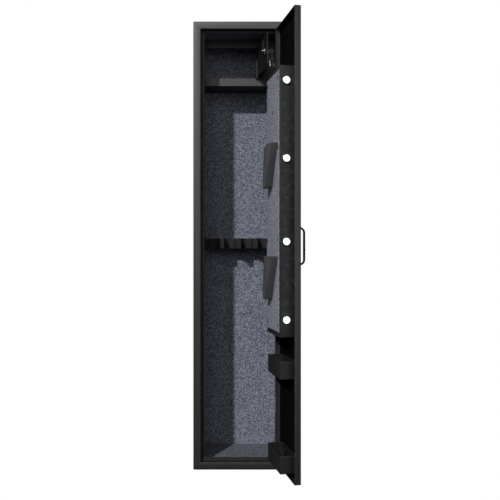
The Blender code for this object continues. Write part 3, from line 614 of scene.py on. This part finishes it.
def build_softened_nodes():
    """The CAD nodes that keep their own shapes."""
    # The parts inside take the darker copy of the coat, which paints the shade inside the cabinet.
    soften(0.5 * MM, COAT_INSIDE_SHADED, "top_shelf")
    soften(0.4 * MM, COAT_INSIDE_SHADED, "inner_fascia")
    soften(0.3 * MM, COAT_INSIDE_SHADED, "inner_pin_top", "inner_pin_bottom", "inner_door")
    for number in (1, 2, 3):
        soften(0.5 * MM, COAT, f"hinge_knuckle_fixed_{number}", f"hinge_knuckle_door_{number}")
    # The hardplate takes the matt black copy of the coat: painted shade in the door pan.
    soften(0.4 * MM, COAT_PLATE_SHADED, "door_hardplate")
    soften(0.4 * MM, ZINC, "bolt_guide_lower", "bolt_guide_upper", "bolt_carrier", "crank_spindle")
    soften(0.5 * MM, STEEL, "lock_case", "lock_tongue")
    soften(0.0, NYLON, "spindle_bush")
    soften(0.25 * MM, ZINC, "lock_plug")


# ---------------------------------------------------------------- main door

def build_door_pan():
    """The door's outer skin, folded into a pan with soft bends."""
    low, high = shut_box("door_skin", DOOR)
    steel, bend_out, bend_in, burr = 3 * MM, 2.2 * MM, 1 * MM, 0.5 * MM
    deep = high.y - low.y
    profile = arc((bend_out, bend_out), bend_out, 270, 180)
    profile += [(0.0, deep * 0.6), (0.0, deep - burr), (burr, deep), (steel - burr, deep), (steel, deep - burr)]
    profile += arc((steel + bend_in, steel + bend_in), bend_in, 180, 270, 3)

    def out(a, b, height):
        return Vector((a, low.y + height, b))

    pan = skin_through("door_pan", pan_rings((low.x, high.x), (low.z, high.z), profile, 2.5 * MM, out))
    finish_piece(pan, "main_door", COAT, ("door_skin",), DOOR)


def build_bolt_box():
    """The folded cover over the boltwork, with its bolt holes."""
    low, high = shut_box("bolt_box", DOOR)
    wall, bend_out, bend_in, burr = 2 * MM, 2.4 * MM, 0.8 * MM, 0.3 * MM
    deep = high.y - low.y
    outside = arc((bend_out, deep - bend_out), bend_out, 90, 180)
    outside += [(0.0, deep * 0.5), (0.0, burr), (burr, 0.0), (wall, 0.0)]
    inside = [(wall, burr)] + arc((wall + bend_in, deep - wall - bend_in), bend_in, 180, 90, 3)

    def out(a, b, height):
        return Vector((a, low.y + height, b))

    rings = pan_rings((low.x, high.x), (low.z, high.z), outside + inside, 2.5 * MM, out)
    cover = skin_through("bolt_cover", rings)
    for number in (1, 2, 3, 4):
        bolt_low, bolt_high = shut_box(f"bolt_{number}", DOOR)
        middle = (bolt_low + bolt_high) / 2
        radius = (bolt_high.z - bolt_low.z) / 2 + 0.7 * MM
        drill(cover, (low.x - 4 * MM, middle.y, middle.z), (1, 0, 0), 12 * MM, radius, 72)
    # The bolt cover takes the darker copy of the coat: painted shade.
    finish_piece(cover, "main_door", COAT_COVER_SHADED, ("bolt_box",), DOOR)


def build_door_carpet():
    """The carpeted panel on the bolt box, held by push rivets."""
    low, high = shut_box("door_carpet_panel", DOOR)
    panel = carpet_board("door_panel_carpet", low, high, (1, 1), 77.0, 1.1 * MM)
    finish_piece(panel, "main_door", CARPET_DOOR, ("door_carpet_panel",), DOOR, sharp=60)
    places = [(x, z) for x in (low.x + 10 * MM, high.x - 10 * MM) for z in (1262, 1049, 766, 506)]
    places.append((low.x + 77 * MM, 1166))
    profile = in_mm((-0.8, 3.2), (-0.6, 5.4), (-0.2, 6.0), (0.4, 5.9), (1.1, 5.2), (1.7, 3.9), (2.1, 2.2), (2.2, 0.4))
    heads = [turned("head", profile, (x, high.y - 0.6 * MM, z * MM), (0, 1, 0), 32) for x, z in places]
    finish_piece(joined("panel_rivets", heads), "main_door", NYLON, (), DOOR)


def build_bolts():
    """Four chromed locking bolts with chamfered ends and a groove at the root."""
    for number in (1, 2, 3, 4):
        node = f"bolt_{number}"
        low, high = shut_box(node, DOOR)
        middle = (low + high) / 2
        radius, long = (high.z - low.z) / 2, high.x - low.x
        near_end = in_mm((0.0, 1.1), (0.25, 0.5), (0.9, 0.08), (1.4, 0.0))
        far_end = in_mm((9, 0.0), (8.4, 0.8), (6.6, 0.8), (6, 0.0), (0.8, 0.0), (0.0, 0.8))
        profile = [(0.0, 0.4 * MM)] + [(along, radius - less) for along, less in near_end]
        profile += [(long - from_end, radius - less) for from_end, less in far_end]
        bolt = turned(f"locking_{node}", profile, (low.x, middle.y, middle.z), (1, 0, 0), 96)
        finish_piece(bolt, "boltwork", BOLT_CHROME, (node,), DOOR, sharp=12)


def pouch_ring(far, wide, z, back, thick, corner):
    """One level of a holster: flat on the panel, with a faintly crowned front between two round corners."""
    crown, corner_steps, crown_steps = 0.35 * MM, 7, 6
    near = far - wide
    corner = min(corner, wide * 0.4, thick * 0.6)
    front = back + thick - crown
    halfway = back + (thick - corner) * 0.5
    outline = [(near, back), (near, halfway)]
    outline += arc((near + corner, front - corner), corner, 180, 90, corner_steps)
    for i in range(1, crown_steps):
        share = i / crown_steps
        outline.append((near + corner + (wide - 2 * corner) * share, front + crown * math.sin(math.pi * share)))
    outline += arc((far - corner, front - corner), corner, 90, 0, corner_steps)
    return [Vector((x, y, z)) for x, y in outline + [(far, halfway), (far, back)]]


def build_holsters():
    """Two tapered moulded pouches with a rounded foot and a rolled mouth, which dips on the upper one."""
    foot_wide, wall = 25 * MM, 2.4 * MM
    dip, dip_wide = 5.5 * MM, 46 * MM
    for node in ("holster_lower", "holster_upper"):
        low, high = shut_box(node, DOOR)
        tall, foot_thick, top_wide = high.z - low.z, high.y - low.y, high.x - low.x
        top_thick = foot_thick - 3.5 * MM

        def ring_at(height, inset, lift=0.0):
            share = height / tall
            wide = foot_wide + (top_wide - foot_wide) * share
            thick = foot_thick + (top_thick - foot_thick) * share
            corner = max(1.2 * MM, 5.0 * MM - inset)
            ring = pouch_ring(
                high.x - inset, wide - 2 * inset, low.z + height, low.y + lift, thick - lift - inset, corner
            )
            if node == "holster_upper" and share > 0.5:
                for point in ring:
                    far_share = max(0.0, (point.x - (high.x - dip_wide)) / dip_wide)
                    point.z -= dip * far_share ** 2 * (share - 0.5) * 2
            return ring

        foot = in_mm((0.0, 3.0), (0.4, 1.7), (1.2, 0.7), (2.4, 0.15), (4.0, 0.0))
        mouth = in_mm((2.1, 0.0), (1.1, 0.15), (0.4, 0.5), (0.0, 1.2), (0.4, 2.0), (1.2, 2.4))
        rings = [ring_at(height, inset) for height, inset in foot]
        rings += [ring_at(4 * MM + (tall - 7 * MM) * i / 16, 0.0) for i in range(1, 17)]
        rings += [ring_at(tall - drop, inset, inset * 0.6) for drop, inset in mouth]
        rings += [ring_at(tall - 1.2 * MM - (tall - 8 * MM) * i / 8, wall, wall * 0.6) for i in range(1, 9)]
        pouch = skin_through(f"{node}_pouch", rings)
        finish_piece(pouch, "main_door", POUCH, (node,), DOOR, sharp=50)


def build_trays():
    """Two folded steel trays with a hemmed rim and three pressed ribs along their sides, and their screws."""
    wall, bend_out, bend_in, rib = 2.0 * MM, 2.2 * MM, 1.0 * MM, 0.9 * MM
    dome = in_mm((0.0, 4.0), (0.5, 3.9), (1.2, 3.3), (1.8, 2.2), (2.1, 0.5))
    for node in ("tray_lower", "tray_upper"):
        low, high = shut_box(node, DOOR)
        tall = high.z - low.z
        profile = arc((bend_out, bend_out), bend_out, 270, 180)
        ribs = {}
        for centre in (0.20, 0.36, 0.52):
            for offset, pressed in ((-2.8, 0.0), (-1.6, rib), (1.6, rib), (2.8, 0.0)):
                ribs[len(profile)] = pressed
                profile.append((0.0, tall * centre + offset * MM))
        rim = in_mm((0.0, 5.2), (0.0, 1.2), (0.35, 0.35), (1.2, 0.0))
        hem = in_mm((0.6, 0.0), (1.2, 0.5), (1.2, 4.6), (0.2, 5.2))
        profile += [(inset, tall - drop) for inset, drop in rim]
        profile += [(wall + inset, tall - drop) for inset, drop in hem]
        profile += arc((wall + bend_in, wall + bend_in), bend_in, 180, 270, 3)

        def out(a, b, height):
            return Vector((a, b, low.z + height))

        rings = pan_rings((low.x, high.x), (low.y, high.y), profile, 3 * MM, out)
        for index, pressed in ribs.items():
            for point in rings[index]:
                if min(point.x - low.x, high.x - point.x) > 5 * MM:
                    point.y += pressed if point.y < (low.y + high.y) / 2 else -pressed
        tray = skin_through(f"{node}_pan", rings)
        # The trays take the darker copy of the coat: painted shade.
        finish_piece(tray, "main_door", COAT_COVER_SHADED, (node,), DOOR)
        screws = [turned("screw", dome, (x, low.y + wall, low.z + tall * 0.62), (0, 1, 0), 32)
                  for x in (low.x + 28 * MM, high.x - 28 * MM)]
        finish_piece(joined(f"{node}_screws", screws), "main_door", DARK_ZINC, (), DOOR)


# ---------------------------------------------------------------- handle and main lock

def build_handle():
    """A black bow whose flattened grip swells at the middle, on a round-ended base bar and a rose."""
    centre = shut_point("handle_turn", DOOR)
    low, high = shut_box("handle", DOOR)
    skin_front = shut_box("door_skin", DOOR)[0].y
    half = (high.z - low.z) / 2
    base_back, base_front, base_round = 3.6 * MM, 8.0 * MM, 10 * MM
    end = half - 13 * MM
    outline = arc((0.0, end), base_round, 0, 180, 16) + arc((0.0, -end), base_round, 180, 360, 16)
    to_space = upright(centre.x, skin_front, centre.z, -1)
    bar = extruded("bar", outline, base_back, base_front, to_space, 1.4 * MM, segments=4)

    thick, wide, corner, flatness = 3.0 * MM, 7.4 * MM, 15 * MM, 0.8
    grip_out = skin_front - low.y - thick
    foot_z = half - thick
    bend_z = 3 * MM + corner - foot_z
    path = [(base_front - 3 * MM, -foot_z + 1.0 * MM), (base_front + 2 * MM, -foot_z + 1.4 * MM)]
    path += arc((grip_out - corner, bend_z), corner, -90, 0, 12)
    path += [(grip_out, bend_z * (1 - i / 8)) for i in range(1, 8)]
    path += [(out, -height) for out, height in reversed(path)]
    rings = []
    for i, (out, height) in enumerate(path):
        before, after = Vector(path[max(0, i - 1)]), Vector(path[min(len(path) - 1, i + 1)])
        run = (after - before).normalized()
        swell = 1.0 - 0.28 * min(1.0, abs(height) / foot_z) ** 2
        ring = []
        for k in range(32):
            cosine, sine = math.cos(WHOLE_TURN * k / 32), math.sin(WHOLE_TURN * k / 32)
            across = wide * swell * math.copysign(abs(cosine) ** flatness, cosine)
            lift = thick * math.copysign(abs(sine) ** flatness, sine)
            ring.append(Vector((
                centre.x + across, skin_front - (out - run.y * lift), centre.z + height + run.x * lift
            )))
        rings.append(ring)
    boolean(bar, skin_through("bow", rings), "UNION")
    hub_at = (centre.x, skin_front - base_front + 0.5 * MM, centre.z)
    hub = turned("hub", in_mm((0, 13), (1.5, 12.6), (2.6, 11), (3.0, 8)), hub_at, (0, -1, 0), 64)
    boolean(bar, hub, "UNION")
    bar.name = "handle_bow"
    finish_piece(bar, "handle", BLACK_CHROME, ("handle",), DOOR, sharp=30)

    rose = bored(
        "handle_rose_ring", in_mm((0.3, 23.4), (0.9, 24.0), (1.6, 23.9), (2.6, 22.6), (3.2, 20.0), (3.3, 18.0)),
        in_mm((0.3, 5.4), (3.3, 5.4)), (centre.x, skin_front, centre.z), (0, -1, 0), 96,
    )
    finish_piece(rose, "main_door", BLACK_CHROME, ("handle_rose",), DOOR, sharp=30)


def build_main_lock():
    """A turned escutcheon round the keyway, and the swinging cover with its rivet."""
    centre = shut_point("lock_plug_turn", DOOR)
    skin_front = shut_box("door_skin", DOOR)[0].y
    ring = bored(
        "lock_escutcheon_ring", in_mm((0.3, 19.2), (0.9, 20.0), (1.5, 19.8), (2.1, 18.2), (2.3, 15.8)),
        in_mm((0.3, 7.3), (1.9, 7.3), (2.3, 7.8)), (centre.x, skin_front, centre.z), (0, -1, 0), 96,
    )
    finish_piece(ring, "main_door", BLACK_CHROME, ("lock_escutcheon",), DOOR, sharp=30)

    pivot = shut_point("keyhole_cover_swing", DOOR)
    wide, narrow = 10.5 * MM, 4.5 * MM
    rise = pivot.z - centre.z
    lean = math.degrees(math.asin((wide - narrow) / rise))
    outline = arc((0.0, 0.0), wide, lean, -180 - lean, 32)
    outline += arc((0.0, rise), narrow, 180 - lean, lean, 16)
    to_space = upright(centre.x, skin_front, centre.z, -1)
    cover = extruded("keyhole_flap", outline, 2.6 * MM, 4.8 * MM, to_space, 0.7 * MM)
    rivet_profile = in_mm((3.5, 2.4), (5.2, 2.4), (5.7, 1.9), (6.0, 0.8))
    rivet = turned("rivet", rivet_profile, (centre.x, skin_front, pivot.z), (0, -1, 0), 32)
    boolean(cover, rivet, "UNION")
    finish_piece(cover, "keyhole_cover", BLACK_CHROME, ("keyhole_cover",), DOOR, sharp=30)


# ---------------------------------------------------------------- cam lock and keys

def build_cam_lock():
    """The inner door's lock: flanged body, hexagonal nut, plug with its keyway, and the cam with its cap nut."""
    low, high = shut_box("inner_lock_body", INNER)
    middle = (low + high) / 2
    deep = high.y - low.y
    outer = in_mm((0.0, 9.4), (0.15, 10.6), (0.8, 11.4), (1.6, 11.5), (2.0, 11.3), (2.1, 9.0))
    for i in range(8):
        start = 4.6 * MM + i * 0.6 * MM
        outer += [(start, 9.0 * MM), (start + 0.3 * MM, 8.6 * MM)]
    outer += [(deep - 0.5 * MM, 9.0 * MM), (deep, 8.5 * MM)]
    bore = in_mm((0.0, 6.4), (0.6, 5.4)) + [(deep, 5.4 * MM)]
    body = bored("cam_lock_body", outer, bore, (middle.x, low.y, middle.z), (0, 1, 0), 72)
    finish_piece(body, "inner_door", CHROME, ("inner_lock_body",), INNER, sharp=30)

    low, high = shut_box("inner_lock_nut", INNER)
    thick = high.y - low.y
    radius = max((high.x - low.x) / 2, (high.z - low.z) / 2)
    to_space = upright(middle.x, low.y, middle.z, 1)
    nut = extruded("cam_lock_nut", arc((0.0, 0.0), radius, 0, 300, 5), 0.0, thick, to_space, 0.5 * MM)
    drill(nut, to_space(0.0, 0.0, -thick), (0, 1, 0), 3 * thick, 9.3 * MM, 48)
    finish_piece(nut, "inner_door", CHROME, ("inner_lock_nut",), INNER, sharp=25)

    low, high = shut_box("inner_lock_plug", INNER)
    profile = in_mm((0.0, 4.4), (0.5, 5.0)) + [(high.y - low.y, 5.0 * MM)]
    plug = turned("cam_lock_plug", profile, (middle.x, low.y, middle.z), (0, 1, 0), 48)
    slot_low = (middle.x - 0.7 * MM, low.y - 1 * MM, middle.z - 4.0 * MM)
    slot_high = (middle.x + 0.7 * MM, low.y + 3 * MM, middle.z + 4.0 * MM)
    cut_block(plug, slot_low, slot_high)
    finish_piece(plug, "inner_key", CHROME, ("inner_lock_plug",), INNER, sharp=30)

    low, high = shut_box("inner_lock_cam", INNER)
    half = (high.x - low.x) / 2
    top = high.z - middle.z - half
    outline = arc((0.0, top), half, 0, 180, 16) + arc((0.0, 0.0), half, 180, 360, 16)
    to_space = upright(middle.x, low.y, middle.z, 1)
    cam = extruded("cam_lock_cam", outline, 0.0, 2 * MM, to_space, 0.4 * MM)
    finish_piece(cam, "inner_key", DARK_ZINC, ("inner_lock_cam",), INNER, sharp=30)
    cap_profile = in_mm((0, 4.2), (0.9, 4.2), (1.0, 3.9), (1.6, 3.7), (2.4, 3.1), (3.0, 2.2), (3.3, 1.2), (3.4, 0.3))
    cap = turned("cam_cap_nut", cap_profile, (middle.x, low.y + 1.0 * MM, middle.z), (0, 1, 0), 48)
    finish_piece(cap, "inner_key", NICKEL, (), INNER, sharp=30)


def blade_outline(start, reach, half, seed):
    """A key blade's outline along u, with a shoulder at its start and cuts along one edge."""
    draw = random.Random(seed)
    shoulder = half + 1.2 * MM
    points = [(start, -shoulder), (start + 1.6 * MM, -shoulder), (start + 2.2 * MM, -half)]
    run = start + 3.4 * MM
    while run < reach - 3.2 * MM:
        cut = draw.choice((0.5, 1.0, 1.5)) * MM - half
        points += [(run, -half), (run + 0.7 * MM, cut), (run + 1.5 * MM, cut)]
        run += 2.3 * MM
    points += [(reach - 1.2 * MM, -half), (reach, -half * 0.2), (reach - 0.8 * MM, half)]
    points += [(start + 2.2 * MM, half), (start + 1.6 * MM, shoulder), (start, shoulder)]
    return points


def build_key(name, node, body, thick, bow, reach, hole, seed, to_space):
    """A key with a black plastic head round its bow, bored for the ring, and a steel blade."""
    sides = 48
    circle = arc((0.0, 0.0), bow, 0, 360 * (sides - 1) / sides, sides - 1)
    head = extruded(f"{name}_head", circle, -thick / 2, thick / 2, to_space, 0.6 * MM)
    axis = to_space(0, 0, 1) - to_space(0, 0, 0)
    drill(head, to_space(*hole, -10 * MM), axis, 20 * MM, 2.4 * MM, 32)
    finish_piece(head, body, NYLON, (node,), INNER, sharp=40)
    outline = blade_outline(bow - 1.0 * MM, reach, 3.0 * MM, seed)
    blade = extruded(f"{name}_blade", outline, -thick * 0.4, thick * 0.4, to_space, 0.25 * MM, segments=2)
    finish_piece(blade, body, CHROME, (), INNER, sharp=30)


def build_keys():
    """The key in the lock, the split ring through its head, and the spare key that hangs on the ring."""
    low, high = shut_box("inner_key", INNER)
    lock = shut_point("inner_key_turn", INNER)
    hole = shut_point("key_ring_swing", INNER)
    middle_x, thick = (low.x + high.x) / 2, high.x - low.x
    bow = (high.z - low.z) / 2
    build_key(
        "lock_key", "inner_key", "inner_key", thick, bow, high.y - lock.y + 2.6 * MM,
        (hole.y - lock.y, hole.z - lock.z), 3,
        lambda a, b, level: Vector((middle_x + level, lock.y + a, lock.z + b)),
    )
    low, high = shut_box("spare_key", INNER)
    ring_low, ring_high = shut_box("key_ring", INNER)
    bow_z = high.z - bow
    build_key(
        "hanging_key", "spare_key", "key_ring", thick, bow, bow_z - low.z,
        (bow_z - ring_low.z - 0.8 * MM, 0.0), 5,
        lambda a, b, level: Vector((middle_x + level, lock.y + b, bow_z - a)),
    )

    radius = (ring_high.x - ring_low.x) / 2 - 0.8 * MM
    centre = Vector((middle_x, lock.y, (ring_low.z + ring_high.z) / 2))
    wire, pitch, turns, start_angle = 0.42 * MM, 0.95 * MM, 1.85, 0.6
    steps, sides = 110, 10
    rings = []
    for i in range(steps + 1):
        angle = WHOLE_TURN * turns * i / steps + start_angle
        outward = Vector((math.cos(angle), 0, math.sin(angle)))
        spot = centre + outward * radius + Vector((0, (i / steps - 0.5) * pitch, 0))
        rings.append([spot + (outward * math.cos(a) + Vector((0, 1, 0)) * math.sin(a)) * wire
                      for a in (WHOLE_TURN * k / sides for k in range(sides))])
    ring = skin_through("split_ring", rings)
    finish_piece(ring, "key_ring", DARK_ZINC, ("key_ring",), INNER, sharp=60)


# ---------------------------------------------------------------- stage

def build_camera():
    """A nearly level view from 2.4 m, a little right of the safe's middle and at its middle height."""
    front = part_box("frame_stile_left")[0].y
    camera = bpy.data.objects.new("camera", bpy.data.cameras.new("camera"))
    camera.location = (39.8 * MM, front - 2383 * MM, 735.3 * MM)
    camera.rotation_euler = (math.pi / 2, 0, 0)
    camera.data.lens = 51.3
    camera.data.sensor_width = 36
    camera.data.clip_end = 100
    bpy.context.scene.collection.objects.link(camera)
    bpy.context.scene.camera = camera


def backdrop(obj):
    """Gives a backdrop its even glow. The camera sees it, and it neither lights nor shows in the object."""
    made = bpy.data.materials.new(f"pale_{obj.name}")
    made.use_nodes = True
    tree = made.node_tree
    tree.nodes.clear()
    glow = add_node(tree, "ShaderNodeEmission", Strength=1.0)
    output = tree.nodes.new("ShaderNodeOutputMaterial")
    tree.links.new(glow.outputs["Emission"], output.inputs["Surface"])
    obj.data.materials.append(made)
    obj.visible_diffuse = False
    obj.visible_glossy = False
    obj.visible_transmission = False
    obj.visible_volume_scatter = False
    obj.visible_shadow = False


def build_stage():
    """A pale round floor just below the safe, and a pale dome round everything."""
    shape = bmesh.new()
    bmesh.ops.create_circle(shape, cap_ends=True, radius=12.0, segments=64)
    floor = object_from("floor", shape)
    floor.location.z = -0.6 * MM
    backdrop(floor)
    shape = bmesh.new()
    bmesh.ops.create_uvsphere(shape, u_segments=48, v_segments=24, radius=30.0)
    backdrop(object_from("backdrop", shape))


def area_light(name, place, target, size, power):
    light = bpy.data.objects.new(name, bpy.data.lights.new(name, "AREA"))
    light.data.shape = "RECTANGLE"
    light.data.size, light.data.size_y = size
    light.data.energy = power
    light.location = place
    aim = Vector(target) - Vector(place)
    light.rotation_euler = aim.to_track_quat("-Z", "Y").to_euler()
    bpy.context.scene.collection.objects.link(light)


def build_lights():
    """A soft-edged key from the upper left, a tall softbox that the bolt ends reflect, and a dim surround."""
    key = bpy.data.objects.new("key_light", bpy.data.lights.new("key_light", "SUN"))
    key.data.energy = 2.9
    key.data.angle = math.radians(3.0)
    key.rotation_euler = Vector((0.42, 1.0, -0.63)).to_track_quat("-Z", "Y").to_euler()
    bpy.context.scene.collection.objects.link(key)
    area_light("bolt_softbox", (1.35, -2.6, 1.05), (0.16, -0.37, 0.95), (1.1, 2.9), 15.0)
    area_light("front_softbox", (-0.2, -2.9, 1.95), (0, 0, 0.85), (1.0, 2.1), 18.5)
    area_light("rear_fill", (1.5, 3.0, 2.2), (0, 0, 0.8), (2.0, 2.0), 60.0)
    area_light("left_fill", (-3.2, 1.2, 1.6), (0, 0, 0.8), (1.5, 2.5), 25.0)
    area_light("right_fill", (3.2, 0.6, 1.8), (0.1, 0, 0.8), (1.2, 2.5), 18.0)
    world = bpy.data.worlds.new("surround")
    world.use_nodes = True
    background = world.node_tree.nodes["Background"]
    background.inputs["Color"].default_value = (1.0, 1.0, 1.0, 1.0)
    background.inputs["Strength"].default_value = 0.07
    bpy.context.scene.world = world
    bpy.context.scene.view_settings.view_transform = "Standard"


build_camera()
build_stage()
build_lights()
build_shell()
build_plugs()
build_linings()
build_barrel_rest()
build_softened_nodes()
build_door_pan()
build_bolt_box()
build_door_carpet()
build_bolts()
build_holsters()
build_trays()
build_handle()
build_main_lock()
build_cam_lock()
build_keys()
